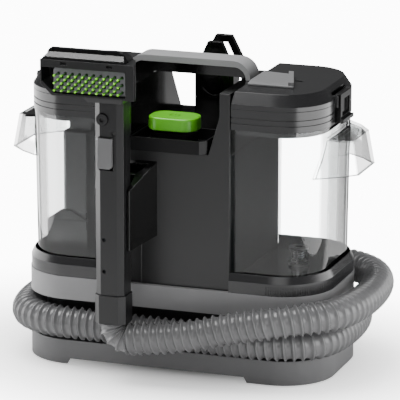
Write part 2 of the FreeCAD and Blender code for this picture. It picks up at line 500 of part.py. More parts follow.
def route(points):
    """Straight runs joined by tangent arcs."""
    pts = [V(*p) for p in points]
    parts = []
    start = pts[0]
    radii = []
    length = 0.0
    for i in range(1, len(pts) - 1):
        a, b, c = pts[i - 1], pts[i], pts[i + 1]
        u = (a - b)
        w = (c - b)
        short = 0.45 * min(u.Length, w.Length)
        half = (math.pi - u.getAngle(w)) / 2
        radius = short / math.tan(half)
        radii.append(round(radius, 1))
        u.normalize()
        w.normalize()
        p = b + u * short
        q = b + w * short
        mid_dir = (u + w)
        mid_dir.normalize()
        centre = b + mid_dir * (radius / math.cos(half))
        m = centre - mid_dir * radius
        parts.append(Part.LineSegment(start, p).toShape())
        parts.append(Part.Arc(p, m, q).toShape())
        length += (p - start).Length + radius * 2 * half
        start = q
    parts.append(Part.LineSegment(start, pts[-1]).toShape())
    length += (pts[-1] - start).Length
    print("hose radii", radii)
    print("hose length", round(length, 1))
    return Part.Wire(parts), length


def hose_parts():
    path, length = route(HOSE_POINTS)
    a, b = V(*HOSE_POINTS[0]), V(*HOSE_POINTS[1])
    ring = Part.Wire(Part.makeCircle(HOSE_D / 2, a, b - a))
    hose = path.makePipeShell([ring], True, False)
    print("hose volume ratio", round(hose.Volume / (math.pi * HOSE_D ** 2 / 4 * length), 4), hose.isValid())
    save("hose", hose)
    # moulded elbow at the bottom of the wand
    ring = Part.Face(Part.Wire(Part.makeCircle(16.8, V(WAND_X, WAND_Y, WAND_Z0 - 0.1), V(0, 0, 1))))
    elbow = ring.revolve(V(WAND_X + 17.9, WAND_Y, WAND_Z0 - 0.1), V(0, 1, 0), -90)
    if elbow.Volume < 0:
        elbow.reverse()
    save("hose_elbow", elbow)
    end = V(*HOSE_POINTS[-1])
    port = rod(end.x - 32, end.y, end.z, 17.4, 31.9, V(1, 0, 0))
    port = port.fuse(rod(end.x - 33, end.y, end.z, 19.0, 12, V(1, 0, 0)))
    port = port.fuse(rod(46, 66, 46.5, 12, 24, V(0, 1, 0)).common(box(30, 70, 60, 89, 20, 70)))
    port = port.fuse(Part.makeSphere(17.4, V(end.x - 32, end.y, end.z)))
    save("hose_port", port.cut(box(0, 100, 60, 110, 20, 28.05)).removeSplitter())


base_parts()
body_parts()
dock_parts()
tank_parts("right", False)
tank_parts("left", True)
tank_inside()
inside_parts()
wand_parts()
hose_parts()

os.makedirs("parts", exist_ok=True)
for name in sorted(NODES):
    shape = NODES[name]
    bad = [i for i, s in enumerate(shape.Solids) if not s.isValid() or s.Volume <= 0]
    bb = shape.BoundBox
    print("%-20s solids %2d vol %9.0f  x %.1f..%.1f y %.1f..%.1f z %.1f..%.1f %s" % (
        name, len(shape.Solids), shape.Volume, bb.XMin, bb.XMax, bb.YMin, bb.YMax, bb.ZMin, bb.ZMax,
        "BAD" if bad else ""))
    shape.exportStep("parts/" + name + ".step")
print(len(NODES), "nodes")
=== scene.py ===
# %% [markdown]
# # A spot extractor, finished in Blender
# The CAD model gives every part its size and place, so nothing is scaled or moved here.
# This lesson adds what CAD leaves out: the ribbed hose, moulded bristle tufts, small relief,
# and a finish for each part that behaves like the real plastic, rubber or metal.

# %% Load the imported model
import math
import bmesh
import bpy
from mathutils import Matrix, Vector


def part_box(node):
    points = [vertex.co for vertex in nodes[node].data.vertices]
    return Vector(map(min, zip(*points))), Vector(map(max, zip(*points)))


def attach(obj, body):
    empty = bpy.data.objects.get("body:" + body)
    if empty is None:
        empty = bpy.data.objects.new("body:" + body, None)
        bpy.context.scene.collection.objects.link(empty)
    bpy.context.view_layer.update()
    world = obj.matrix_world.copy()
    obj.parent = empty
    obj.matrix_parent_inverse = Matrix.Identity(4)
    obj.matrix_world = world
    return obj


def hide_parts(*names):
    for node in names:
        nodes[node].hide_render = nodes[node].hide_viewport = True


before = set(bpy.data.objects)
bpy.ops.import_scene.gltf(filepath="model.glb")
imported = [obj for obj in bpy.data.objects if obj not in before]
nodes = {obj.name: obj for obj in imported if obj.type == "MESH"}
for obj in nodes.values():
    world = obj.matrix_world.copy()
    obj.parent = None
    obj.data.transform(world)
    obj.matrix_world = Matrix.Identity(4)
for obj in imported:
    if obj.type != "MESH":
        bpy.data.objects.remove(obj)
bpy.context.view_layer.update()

# %% [markdown]
# ## Camera
# A product shot of a small machine uses a long lens a few metres away: upright edges stay almost
# upright, and both ends look the same size. The camera stands to the right of the front, a little
# above, and looks at the middle of the machine.

# %% Camera
AZIMUTH, ELEVATION = math.radians(19.59), math.radians(14.62)
TARGET, DISTANCE = Vector((0, 0, 0.1712)), 3.5845
SENSOR_MM, LENS_MM = 36, 301.5
SHIFT_X, SHIFT_Y = 0.0191, -0.0012
back = Vector((math.sin(AZIMUTH) * math.cos(ELEVATION),
               -math.cos(AZIMUTH) * math.cos(ELEVATION), math.sin(ELEVATION)))
lens = bpy.data.cameras.new("product_lens")
lens.sensor_width = SENSOR_MM
lens.lens = LENS_MM
lens.shift_x = SHIFT_X
lens.shift_y = SHIFT_Y
lens.clip_end = 30
camera = bpy.data.objects.new("product_camera", lens)
camera.location = TARGET + back * DISTANCE
camera.rotation_euler = back.to_track_quat("Z", "Y").to_euler()
bpy.context.scene.collection.objects.link(camera)
bpy.context.scene.camera = camera
print("camera at", [round(v, 3) for v in camera.location])

# %% [markdown]
# ## The suction hose
# The hose is a thin PVC wall wound over a stiff spiral, which leaves a rib every 8.6 mm. It leaves
# the elbow under the hand tool, crosses the front over the first turn, goes round behind the body,
# comes back round the left end and lies in the channel of the base until it enters its port.
# Its line is one smooth spline through a handful of control points, and the skin is a tube of
# rings round that line. Ridges could be a bump in the material, but the outline of this hose is
# scalloped, so the ribs are real geometry.

# %% The route of the hose
ROUTE_MM = [(-24.5, -126, 49), (25, -126, 54), (92, -116, 71), (147, -108, 80), (197, -64, 82),
            (199, 62, 84), (149, 109, 86), (70, 108, 85), (-20, 107, 75), (-95, 106, 56),
            (-142, 93, 51), (-176, 56, 50), (-176, -54, 50), (-140, -90, 49.5), (-62, -89, 48),
            (40, -89.5, 47), (138, -90, 46.5), (175.5, -55, 47), (175.5, 55, 46.5),
            (138, 89.5, 47), (82, 89.5, 46.5)]
HOSE_OD, RIB_PITCH, RIB_DEPTH = 0.035, 0.0086, 0.0030
route = bpy.data.curves.new("hose_route", "CURVE")
route.dimensions = "3D"
route.resolution_u = 140
spline = route.splines.new("NURBS")
spline.points.add(len(ROUTE_MM) - 1)
for point, place in zip(spline.points, ROUTE_MM):
    point.co = (*(v / 1000 for v in place), 1)
spline.order_u = 3
spline.use_endpoint_u = True
route_object = bpy.data.objects.new("hose_route", route)
centres = [v.co.copy() for v in bpy.data.meshes.new_from_object(route_object).vertices]
bpy.data.objects.remove(route_object)
hose_length = sum((b - a).length for a, b in zip(centres, centres[1:]))
print("hose centreline", round(hose_length * 1000), "mm in", len(centres), "rings")

# %% [markdown]
# A tube of rings needs a direction for each ring. Turning one starting direction along the line,
# with no twist of its own, keeps the spiral even. The rib is a narrow rounded crest over the hidden
# spiral, about a third of the pitch wide, and between crests the wall dips in a wide trough.

# %% Helpers for ribbed tubes
CREST_SPREAD = 0.19                                # of a pitch, to where the bell curve has fallen to 1/e


def rib(phase, depth):
    """How far the wall dips below the crest at this fraction of a pitch."""
    off = (phase % 1.0) - 0.5                      # 0 on the crest
    return depth * (1 - math.exp(-(off / CREST_SPREAD) ** 2))


def mesh_piece(name, verts, faces, smooth=True):
    mesh = bpy.data.meshes.new(name)
    mesh.from_pydata([tuple(v) for v in verts], [], faces)
    mesh.validate()
    shape = bmesh.new()
    shape.from_mesh(mesh)
    bmesh.ops.recalc_face_normals(shape, faces=shape.faces)
    shape.to_mesh(mesh)
    shape.free()
    if smooth:
        mesh.shade_smooth()
    piece = bpy.data.objects.new(name, mesh)
    bpy.context.scene.collection.objects.link(piece)
    return piece


def ribbed_tube(name, centres, ahead, side, radius, depth, phase, turns=1, around=28):
    """A tube of rings; phase(i) gives each ring's place in the rib pattern."""
    verts, faces = [], []
    for i, centre in enumerate(centres):
        up = ahead[i].cross(side[i]).normalized()
        for j in range(around):
            angle = 2 * math.pi * j / around
            r = radius - rib(phase(i) - turns * j / around, depth)
            verts.append(centre + (side[i] * math.cos(angle) + up * math.sin(angle)) * r)
    for i in range(len(centres) - 1):
        for j in range(around):
            k = (j + 1) % around
            a, b = i * around, (i + 1) * around
            faces.append((a + j, a + k, b + k, b + j))
    last = (len(centres) - 1) * around
    faces.append(tuple(reversed(range(around))))
    faces.append(tuple(range(last, last + around)))
    return mesh_piece(name, verts, faces)


# %% The hose skin
ahead = [(centres[min(i + 1, len(centres) - 1)] - centres[max(i - 1, 0)]).normalized()
         for i in range(len(centres))]
side = [Vector((0, 0, 1))]
for i in range(1, len(centres)):
    turned = ahead[i - 1].rotation_difference(ahead[i]) @ side[-1]
    side.append((turned - ahead[i] * turned.dot(ahead[i])).normalized())
along = [0.0]
for a, b in zip(centres, centres[1:]):
    along.append(along[-1] + (b - a).length)
hose_skin = ribbed_tube("hose_skin", centres, ahead, side, HOSE_OD / 2, RIB_DEPTH,
                        lambda i: along[i] / RIB_PITCH + 0.5)
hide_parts("hose")
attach(hose_skin, "base")
print("ribs:", round(along[-1] / RIB_PITCH), "faces:", len(hose_skin.data.polygons))

# %% [markdown]
# Under the hand tool the hose turns from upright to level in its own width. A bend that tight folds
# the outside into open pleats that fan out from one point on the inside, so the elbow is a quarter
# of a ring with wide ribs.

# %% The pleated elbow
BEND_CENTRE, BEND_RADIUS = Vector((-0.0246, -0.126, 0.0669)), 0.0179
ELBOW_RADIUS, PLEAT_DEPTH, PLEATS = 0.0168, 0.0024, 4
BEND_STEPS = 90
angles = [math.radians(90) * i / BEND_STEPS for i in range(BEND_STEPS + 1)]
elbow_centres = [BEND_CENTRE + BEND_RADIUS * Vector((-math.cos(a), 0, -math.sin(a)))
                 for a in angles]
elbow_ahead = [Vector((math.sin(a), 0, -math.cos(a))) for a in angles]
elbow_side = [Vector((0, 1, 0))] * len(angles)
elbow_skin = ribbed_tube("elbow_pleats", elbow_centres, elbow_ahead, elbow_side, ELBOW_RADIUS,
                         PLEAT_DEPTH, lambda i: PLEATS * i / BEND_STEPS + 0.5, turns=0, around=48)
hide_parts("hose_elbow")
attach(elbow_skin, "base")
print("elbow pleats:", PLEATS)

# %% [markdown]
# ## Bristle tufts
# The brush is a block of soft nylon with 48 tapered fingers in five staggered rows. Each is a little
# lathe shape: a foot that flares into the block, a slim stem and a round bead at the tip.

# %% Bristle tufts
BRISTLE_PROFILE_MM = [(0.0, 1.7), (0.5, 1.25), (1.4, 1.0), (4.0, 0.88), (8.0, 0.82), (10.8, 0.86),
                      (11.9, 1.12), (12.9, 1.16), (13.6, 0.86), (14.0, 0.0)]   # reach, radius
FIRST_X_MM, FIRST_Z_MM, FOOT_Y_MM, TIP_Y_MM = -83.5, 323.9, -172.2, -186.2
TUFT_PITCH_MM = 7.7
TUFTS_IN_ROW = (10, 9, 10, 9, 10)
SIDES = 14
verts, faces = [], []
for row, count in enumerate(TUFTS_IN_ROW):
    for i in range(count):
        x = FIRST_X_MM + TUFT_PITCH_MM * i + (0 if row % 2 == 0 else TUFT_PITCH_MM / 2)
        z = FIRST_Z_MM + TUFT_PITCH_MM / 2 * row
        first = len(verts)
        for reach, radius in BRISTLE_PROFILE_MM[:-1]:
            for j in range(SIDES):
                angle = 2 * math.pi * j / SIDES
                verts.append(Vector((x + radius * math.cos(angle), FOOT_Y_MM - reach,
                                     z + radius * math.sin(angle))) / 1000)
        verts.append(Vector((x, TIP_Y_MM, z)) / 1000)
        rings = len(BRISTLE_PROFILE_MM) - 1
        for r in range(rings - 1):
            for j in range(SIDES):
                k = (j + 1) % SIDES
                faces.append((first + r * SIDES + j, first + r * SIDES + k,
                              first + (r + 1) * SIDES + k, first + (r + 1) * SIDES + j))
        top = first + (rings - 1) * SIDES
        for j in range(SIDES):
            faces.append((top + j, top + (j + 1) % SIDES, len(verts) - 1))
        faces.append(tuple(first + j for j in range(SIDES)))
bristle_tufts = mesh_piece("bristle_tufts", verts, faces)
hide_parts("bristles")
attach(bristle_tufts, "head")
print("tufts:", sum(TUFTS_IN_ROW))

# %% [markdown]
# ## Small relief
# The button carries the common on/off sign, a broken ring with a bar, moulded 0.3 mm proud. It
# shows by its edges and by a slightly darker green than the button's.

# %% Power sign
RELIEF, GAP_DEGREES, SIGN_STEPS = 0.0003, 64, 32
SIGN_SECTION = ((0.0062, -RELIEF), (0.0060, RELIEF), (0.0050, RELIEF), (0.0048, -RELIEF))
BAR_WIDTH, BAR_LENGTH, BAR_UP = 0.0012, 0.0052, 0.0038
lo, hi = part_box("power_button")
centre = Vector(((lo.x + hi.x) / 2, (lo.y + hi.y) / 2, hi.z))
shape = bmesh.new()
ring = []
for i in range(SIGN_STEPS + 1):
    angle = math.radians(90 + GAP_DEGREES / 2 + (360 - GAP_DEGREES) * i / SIGN_STEPS)
    out = Vector((math.cos(angle), 0.9 * math.sin(angle), 0))
    ring.append([shape.verts.new(centre + out * r + Vector((0, 0, h))) for r, h in SIGN_SECTION])
for a, b in zip(ring, ring[1:]):
    for j in range(4):
        shape.faces.new((a[j], a[(j + 1) % 4], b[(j + 1) % 4], b[j]))
shape.faces.new(ring[0])
shape.faces.new(list(reversed(ring[-1])))
bmesh.ops.create_cube(shape, size=1.0, matrix=Matrix.Translation(centre + Vector((0, BAR_UP, 0)))
                      @ Matrix.Diagonal((BAR_WIDTH, BAR_LENGTH, 2 * RELIEF, 1)))
bmesh.ops.recalc_face_normals(shape, faces=shape.faces)
mesh = bpy.data.meshes.new("power_sign")
shape.to_mesh(mesh)
shape.free()
power_sign = bpy.data.objects.new("power_sign", mesh)
bpy.context.scene.collection.objects.link(power_sign)
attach(power_sign, "button")
print("power sign on the button at z", round(hi.z * 1000, 1), "mm")

# %% [markdown]
# ## Painted shade in the screw wells
# The front half of the hand tool is held by screws in round wells. A black disc at the bottom of each well
# is painted shade, standing in for the shade that fills the well.

# %% Painted shade discs in the wells
WELL_SHADE_DISCS_MM = [(-36.0, -138.1, 272.0, 2.5), (-47.5, -136.1, 158.0, 2.1), (-47.5, -136.1, 124.0, 2.1)]
SHADE_DISC_THICKNESS_MM, SHADE_DISC_SIDES = 0.6, 24
verts, faces = [], []
for x, back, z, radius in WELL_SHADE_DISCS_MM:
    first = len(verts)
    for y in (back, back - SHADE_DISC_THICKNESS_MM):
        for j in range(SHADE_DISC_SIDES):
            angle = 2 * math.pi * j / SHADE_DISC_SIDES
            verts.append(Vector((x + radius * math.cos(angle), y, z + radius * math.sin(angle))) / 1000)
    front = first + SHADE_DISC_SIDES
    faces.append(tuple(first + j for j in range(SHADE_DISC_SIDES)))
    faces.append(tuple(front + SHADE_DISC_SIDES - 1 - j for j in range(SHADE_DISC_SIDES)))
    for j in range(SHADE_DISC_SIDES):
        k = (j + 1) % SHADE_DISC_SIDES
        faces.append((first + k, first + j, front + j, front + k))
# painted shade: thin black discs at the bottom of the wells, where shade falls
well_shade_discs = mesh_piece("well_shade_discs", verts, faces, smooth=False)
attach(well_shade_discs, "base")
print("plugs:", len(WELL_SHADE_DISCS_MM))

# %% [markdown]
# ## Finishes
# Colours are given the way a paint card gives them, as sRGB hex values, and Cycles needs linear
# light, so one function converts them. Another adds a shader node with its settings and links, and
# a third makes a colour ramp.

# %% Colour and node helpers
def linear(hex_colour):
    """sRGB hex such as '#78c840' to a linear RGBA tuple."""
    parts = [int(hex_colour[i:i + 2], 16) / 255 for i in (1, 3, 5)]
    return (*(c / 12.92 if c <= 0.04045 else ((c + 0.055) / 1.055) ** 2.4 for c in parts), 1.0)


def add(tree, kind, sockets=(), **settings):
    """Add a node; sockets maps input names to values or to other nodes' outputs."""
    node = tree.nodes.new(kind)
    for key, value in settings.items():
        setattr(node, key, value)
    for name, value in dict(sockets).items():
        if isinstance(value, bpy.types.NodeSocket):
            tree.links.new(value, node.inputs[name])
        else:
            node.inputs[name].default_value = value
    return node


def ramp(tree, factor, low, high, start=0.0, end=1.0):
    """A colour ramp that goes from low at start to high at end."""
    node = add(tree, "ShaderNodeValToRGB", {"Fac": factor})
    node.color_ramp.elements[0].position = start
    node.color_ramp.elements[1].position = end
    node.color_ramp.elements[0].color = low
    node.color_ramp.elements[1].color = high
    return node


def new_material(name):
    material = bpy.data.materials.new(name)
    material.use_nodes = True
    material.node_tree.nodes.clear()
    return material, material.node_tree


# %% [markdown]
# Injection-moulded ABS (IOR 1.53) takes the texture of its mould. A spark-eroded mould leaves a fine
# grain, drawn at 0.9 mm so that it shows. A polished mould leaves a gloss with only a slow
# unevenness, where the wall has sunk a little over its ribs. Pigment varies by a few percent over
# centimetres. Edges of a moulding are never sharp, so the shading rounds them by half a millimetre,
# and by more on the large casings. The hand tool and the button tray have a lower IOR than real ABS,
# set to quieten their mirror.

# %% Moulded plastic
def moulded(name, colour, roughness, grain_mm=0.9, grain_depth_mm=0.012, edge_mm=0.5, ior=1.53,
            sink_mm=0.02, vary=0.05):
    material, tree = new_material(name)
    place = add(tree, "ShaderNodeTexCoord").outputs["Object"]
    pigment = add(tree, "ShaderNodeTexNoise", {"Vector": place, "Scale": 1 / 0.035, "Detail": 3.0})
    grain = add(tree, "ShaderNodeTexNoise", {"Vector": place, "Scale": 1000 / grain_mm, "Detail": 2.0})
    sink = add(tree, "ShaderNodeTexNoise", {"Vector": place, "Scale": 1 / 0.022, "Detail": 1.0})
    base = linear(colour)
    tint = ramp(tree, pigment.outputs["Fac"], (*(c * (1 - vary) for c in base[:3]), 1),
                (*(c * (1 + vary) for c in base[:3]), 1), start=0.3, end=0.7)
    rough = add(tree, "ShaderNodeMapRange", {"Value": grain.outputs["Fac"], "From Min": 0.3,
                "From Max": 0.7, "To Min": roughness * 0.88, "To Max": roughness * 1.12})
    edge = add(tree, "ShaderNodeBevel", {"Radius": edge_mm / 1000}, samples=4)
    wave = add(tree, "ShaderNodeBump", {"Height": sink.outputs["Fac"], "Distance": sink_mm / 1000,
               "Strength": 1.0, "Normal": edge.outputs["Normal"]})
    fine = add(tree, "ShaderNodeBump", {"Height": grain.outputs["Fac"], "Normal": wave.outputs["Normal"],
               "Distance": grain_depth_mm / 1000, "Strength": 1.0})
    plastic = add(tree, "ShaderNodeBsdfPrincipled", {"Base Color": tint.outputs["Color"], "IOR": ior,
                  "Roughness": rough.outputs["Result"], "Normal": fine.outputs["Normal"]})
    add(tree, "ShaderNodeOutputMaterial", {"Surface": plastic.outputs["BSDF"]})
    return material


satin_charcoal = moulded("abs_satin_charcoal", "#101011", 0.36, grain_depth_mm=0.005, edge_mm=1.3)
tool_charcoal = moulded("abs_satin_charcoal_tool", "#151516", 0.34, grain_depth_mm=0.005, edge_mm=0.9,
                        ior=1.45)
smooth_charcoal = moulded("abs_smooth_charcoal", "#202021", 0.22, grain_depth_mm=0.0)
gloss_black = moulded("abs_gloss_black", "#060606", 0.12, grain_depth_mm=0.0)
tray_black = moulded("abs_satin_black_tray", "#0a0a0b", 0.38, grain_depth_mm=0.004, ior=1.3)
satin_black = moulded("abs_satin_black", "#0c0c0d", 0.30, grain_depth_mm=0.004)
band_grey = moulded("abs_fine_texture_mid_grey", "#787879", 0.46, grain_depth_mm=0.012)
plinth_grey = moulded("abs_fine_texture_plinth_grey", "#525253", 0.48, grain_depth_mm=0.012)
handle_grey = moulded("abs_satin_light_grey", "#8e8e8f", 0.40, grain_depth_mm=0.01)
slider_grey = moulded("abs_satin_slider_grey", "#6e6e6f", 0.34, grain_depth_mm=0.006)
trigger_grey = moulded("abs_satin_trigger_grey", "#6c6c6d", 0.36, grain_depth_mm=0.006)
brush_grey = moulded("abs_satin_brush_grey", "#7a797e", 0.42, grain_depth_mm=0.008)
button_green = moulded("abs_satin_apple_green", "#4fa408", 0.36, edge_mm=1.0, grain_depth_mm=0.004)
sign_green = moulded("abs_satin_apple_green_sign", "#3f8806", 0.34, edge_mm=0.2, grain_depth_mm=0.0)
latch_green = moulded("abs_gloss_leaf_green", "#2f7006", 0.25, grain_depth_mm=0.0)
white_float = moulded("polypropylene_milky_white", "#c9cac8", 0.42, ior=1.49)
print("moulded finishes:", len([m for m in bpy.data.materials if m.name.startswith("abs_")]))

# %% [markdown]
# The body casing is charcoal between the tanks, and above the button deck its uprights are a black
# gloss insert, moulded in a second shot. The split is level, so the height decides which plastic
# a point is made of. The lower shot's sheen is turned down.

# %% Two-shot casing
SPLIT_FROM, SPLIT_TO = 0.2425, 0.2435
casing_two_shot, tree = new_material("abs_two_shot_casing")
place = add(tree, "ShaderNodeTexCoord").outputs["Object"]
height = add(tree, "ShaderNodeSeparateXYZ", {"Vector": place}).outputs["Z"]
upper = add(tree, "ShaderNodeMapRange", {"Value": height, "From Min": SPLIT_FROM, "From Max": SPLIT_TO})
pigment = add(tree, "ShaderNodeTexNoise", {"Vector": place, "Scale": 1 / 0.035, "Detail": 3.0})
lower_tone = ramp(tree, pigment.outputs["Fac"], linear("#131314"), linear("#161617"))
tone = add(tree, "ShaderNodeMix", {"Factor": upper.outputs["Result"]}, data_type="RGBA")
tree.links.new(lower_tone.outputs["Color"], tone.inputs[6])
tone.inputs[7].default_value = linear("#060606")
rough = add(tree, "ShaderNodeMapRange", {"Value": upper.outputs["Result"], "To Min": 0.45, "To Max": 0.13})
sheen = add(tree, "ShaderNodeMapRange", {"Value": upper.outputs["Result"], "To Min": 0.15, "To Max": 0.5})
edge = add(tree, "ShaderNodeBevel", {"Radius": 0.0006}, samples=4)
shell = add(tree, "ShaderNodeBsdfPrincipled", {"IOR": 1.53, "Roughness": rough.outputs["Result"],
            "Normal": edge.outputs["Normal"], "Specular IOR Level": sheen.outputs["Result"]})
tree.links.new(tone.outputs[2], shell.inputs["Base Color"])
add(tree, "ShaderNodeOutputMaterial", {"Surface": shell.outputs["BSDF"]})
print("casing finish:", casing_two_shot.name)

# %% [markdown]
# The hose skin is soft PVC (IOR 1.54), a mid grey with a soft gloss that a fine grain breaks up.
# The crests read lighter than the troughs because they catch the light.

# %% Hose PVC
hose_pvc, tree = new_material("pvc_soft_glossy_grey")
place = add(tree, "ShaderNodeTexCoord").outputs["Object"]
cloud = add(tree, "ShaderNodeTexNoise", {"Vector": place, "Scale": 1 / 0.03, "Detail": 3.0})
fine = add(tree, "ShaderNodeTexNoise", {"Vector": place, "Scale": 1 / 0.0012, "Detail": 2.0})
tone = ramp(tree, cloud.outputs["Fac"], linear("#545455"), linear("#666667"))
rough = add(tree, "ShaderNodeMapRange", {"Value": fine.outputs["Fac"], "To Min": 0.17, "To Max": 0.30})
bump = add(tree, "ShaderNodeBump", {"Height": fine.outputs["Fac"], "Distance": 0.00003, "Strength": 1.0})
pvc = add(tree, "ShaderNodeBsdfPrincipled", {"Base Color": tone.outputs["Color"], "IOR": 1.54,
          "Roughness": rough.outputs["Result"], "Normal": bump.outputs["Normal"]})
add(tree, "ShaderNodeOutputMaterial", {"Surface": pvc.outputs["BSDF"]})
print("hose finish:", hose_pvc.name)

# %% [markdown]
# Nylon bristles (IOR 1.53) are dyed through. Light gathers in the rounded tips, and the colour paints it in:
# each finger goes from a painted deep-green shade at its foot to a painted yellow-green highlight at its
# tip, by its distance from the block.

# %% Bristle nylon
bristle_nylon, tree = new_material("nylon_bright_green")
place = add(tree, "ShaderNodeTexCoord").outputs["Object"]
apart = add(tree, "ShaderNodeSeparateXYZ", {"Vector": place})
reach = add(tree, "ShaderNodeMapRange", {"Value": apart.outputs["Y"], "From Min": FOOT_Y_MM / 1000,
            "From Max": TIP_Y_MM / 1000, "To Min": 0.0, "To Max": 1.0})
# painted light: dark at the foot where the fingers crowd into the block, bright at the tip where light
# gathers
tone = ramp(tree, reach.outputs["Result"], linear("#123a00"), linear("#86e01c"))
tone.color_ramp.elements.new(0.72).color = linear("#2f7a02")
tone.color_ramp.elements.new(0.84).color = linear("#6cc80c")
streak = add(tree, "ShaderNodeTexNoise", {"Vector": place, "Scale": 1 / 0.0008, "Detail": 1.0})
rough = add(tree, "ShaderNodeMapRange", {"Value": streak.outputs["Fac"], "To Min": 0.28, "To Max": 0.42})
nylon = add(tree, "ShaderNodeBsdfPrincipled", {"Base Color": tone.outputs["Color"], "IOR": 1.53,
            "Roughness": rough.outputs["Result"]})
add(tree, "ShaderNodeOutputMaterial", {"Surface": nylon.outputs["BSDF"]})
print("bristle finish:", bristle_nylon.name)

# %% [markdown]
# The tanks are clear polycarbonate (IOR 1.585), 2.5 mm thick. A wall this thin hardly bends what is
# behind it, so the shader lets light straight through with a slight tint and lays the mirror of the
# surface on top. Seen edge-on there is far more plastic in the way, and it goes dark: that draws the
# rim, the corners and the outline of a clear tank. The flat wall that stands against the body came out
# far lighter than in the photo, so its mirror is turned down to 4%, and the lip's to 70%.

# %% Clear polycarbonate
FLAT_WALL_X, WALL_BLEND = 0.0745, 0.002
GREY_STOPS = ((0.405, "#cecece"), (0.70, "#c6c6c6"), (0.755, "#6e7070"))


def clear_plastic(name, tint, rim, edge_mm=2.2, gloss_share=1.0, flat_wall_gloss=0.04):
    material, tree = new_material(name)
    place = add(tree, "ShaderNodeTexCoord").outputs["Object"]
    facing = add(tree, "ShaderNodeLayerWeight", {"Blend": 0.5}).outputs["Facing"]
    geometry = add(tree, "ShaderNodeNewGeometry")
    rounded = add(tree, "ShaderNodeBevel", {"Radius": edge_mm / 1000}, samples=4)
    turn = add(tree, "ShaderNodeVectorMath", {0: rounded.outputs["Normal"],
               1: geometry.outputs["Normal"]}, operation="DOT_PRODUCT")
    corner = add(tree, "ShaderNodeMapRange", {"Value": turn.outputs["Value"], "From Min": 0.995,
                 "From Max": 0.90, "To Min": 0.0, "To Max": 1.0})
    dark = add(tree, "ShaderNodeMath", {0: facing, 1: corner.outputs["Result"]},
               operation="MAXIMUM")
    haze = add(tree, "ShaderNodeTexNoise", {"Vector": place, "Scale": 1 / 0.02, "Detail": 2.0})
    tone = ramp(tree, dark.outputs["Value"], linear(tint), linear(rim))
    for stop, shade in ((0.385, tint), *GREY_STOPS, (0.81, rim)):
        tone.color_ramp.elements.new(stop).color = linear(shade)
    rough = add(tree, "ShaderNodeMapRange", {"Value": haze.outputs["Fac"], "To Min": 0.02, "To Max": 0.07})
    mirror = add(tree, "ShaderNodeFresnel", {"IOR": 1.585})
    front = add(tree, "ShaderNodeMath", {0: 1.0, 1: geometry.outputs["Backfacing"]}, operation="SUBTRACT")
    outer = add(tree, "ShaderNodeMath", {0: mirror.outputs["Fac"], 1: front.outputs["Value"]},
                operation="MULTIPLY")
    across = add(tree, "ShaderNodeSeparateXYZ", {"Vector": place}).outputs["X"]
    off_body = add(tree, "ShaderNodeMath", {0: across}, operation="ABSOLUTE")
    open_side = add(tree, "ShaderNodeMapRange", {"Value": off_body.outputs["Value"], "From Min": FLAT_WALL_X,
                    "From Max": FLAT_WALL_X + WALL_BLEND, "To Min": flat_wall_gloss, "To Max": gloss_share})
    share = add(tree, "ShaderNodeMath", {0: outer.outputs["Value"], 1: open_side.outputs["Result"]},
                operation="MULTIPLY")
    see = add(tree, "ShaderNodeBsdfTransparent", {"Color": tone.outputs["Color"]})
    gloss = add(tree, "ShaderNodeBsdfGlossy", {"Roughness": rough.outputs["Result"]})
    mix = add(tree, "ShaderNodeMixShader", {0: share.outputs["Value"], 1: see.outputs["BSDF"],
              2: gloss.outputs["BSDF"]})
    add(tree, "ShaderNodeOutputMaterial", {"Surface": mix.outputs["Shader"]})
    return material


tank_clear = clear_plastic("polycarbonate_clear", "#fbfcfc", "#0c0d0d")
lip_clear = clear_plastic("polycarbonate_clear_lip", "#8c9090", "#1c1e1f", edge_mm=0.6, gloss_share=0.7,
                          flat_wall_gloss=0.7)
print("clear finishes:", tank_clear.name, lip_clear.name)

# %% [markdown]
# Rubber is dull and dark, with a fine dusty grain (IOR 1.52). Metals keep the default IOR and carry
# fine level bands, like tool marks round an upright shaft. The rotor is lacquered copper.

# %% Rubber and metals
rubber_black = moulded("rubber_black_matt", "#1a1a1a", 0.72, grain_mm=0.7, grain_depth_mm=0.03, ior=1.52)
filter_foam = moulded("foam_filter_black", "#222223", 0.9, grain_mm=1.4, grain_depth_mm=0.4, edge_mm=0.8)


def metal(name, colour, roughness, mark_mm):
    material, tree = new_material(name)
    place = add(tree, "ShaderNodeTexCoord").outputs["Object"]
    marks = add(tree, "ShaderNodeTexWave", {"Vector": place, "Scale": 1000 / mark_mm / 20,
                "Distortion": 1.5, "Detail": 2.0}, bands_direction="Z")
    worn = add(tree, "ShaderNodeTexNoise", {"Vector": place, "Scale": 1 / 0.012, "Detail": 2.0})
    base = linear(colour)
    tone = ramp(tree, worn.outputs["Fac"], (*(c * 0.85 for c in base[:3]), 1), base)
    rough = add(tree, "ShaderNodeMapRange", {"Value": marks.outputs["Fac"],
                "To Min": roughness * 0.8, "To Max": roughness * 1.2})
    bump = add(tree, "ShaderNodeBump", {"Height": marks.outputs["Fac"], "Distance": 0.00001,
               "Strength": 1.0})
    shader = add(tree, "ShaderNodeBsdfPrincipled", {"Base Color": tone.outputs["Color"],
                 "Metallic": 1.0, "Roughness": rough.outputs["Result"], "Normal": bump.outputs["Normal"]})
    add(tree, "ShaderNodeOutputMaterial", {"Surface": shader.outputs["BSDF"]})
    return material


steel = metal("steel_turned", "#b8babd", 0.30, 0.4)
spring_steel = metal("steel_spring_drawn", "#9ea1a5", 0.25, 0.3)
screw_steel = metal("steel_screw_blackened", "#2d2e30", 0.38, 0.5)
copper = metal("copper_lacquered", "#a4612f", 0.35, 0.6)
print("metals:", [m.name for m in (steel, spring_steel, screw_steel, copper)])

# %% [markdown]
# ## Dress every part
# Each CAD part takes the finish of its real counterpart.

